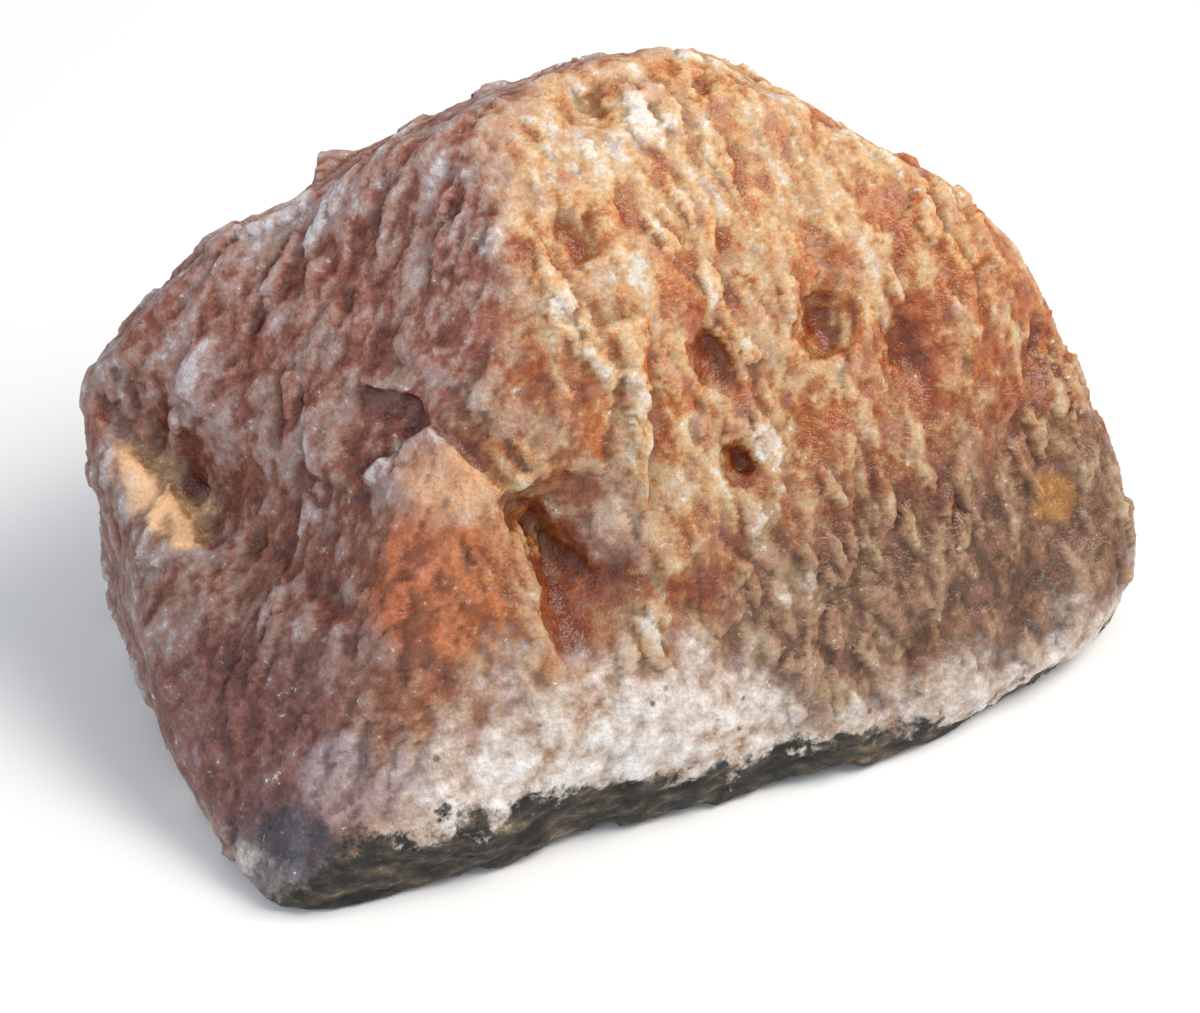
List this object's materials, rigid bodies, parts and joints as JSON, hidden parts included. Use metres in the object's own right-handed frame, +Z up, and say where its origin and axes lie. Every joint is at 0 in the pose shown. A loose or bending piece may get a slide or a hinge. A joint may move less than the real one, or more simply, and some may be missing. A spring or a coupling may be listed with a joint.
{
  "type": "rough calcite lump",
  "caption": "Rough lump of orange calcite with broken ledges, open pits, a white crust and a dark rind at its foot, resting on a flat break.",
  "frame": {"origin": "middle of the bounding box at the flat base", "axes": "+Z up from the base, +X along the length to the lit end, -Y towards the front face with the ledges"},
  "size_m": [0.0748, 0.0542, 0.0431],
  "materials": {
    "calcite": "rough"
  },
  "bodies": {
    "root": {"calcite_stone": "calcite"}
  },
  "joints": []
}
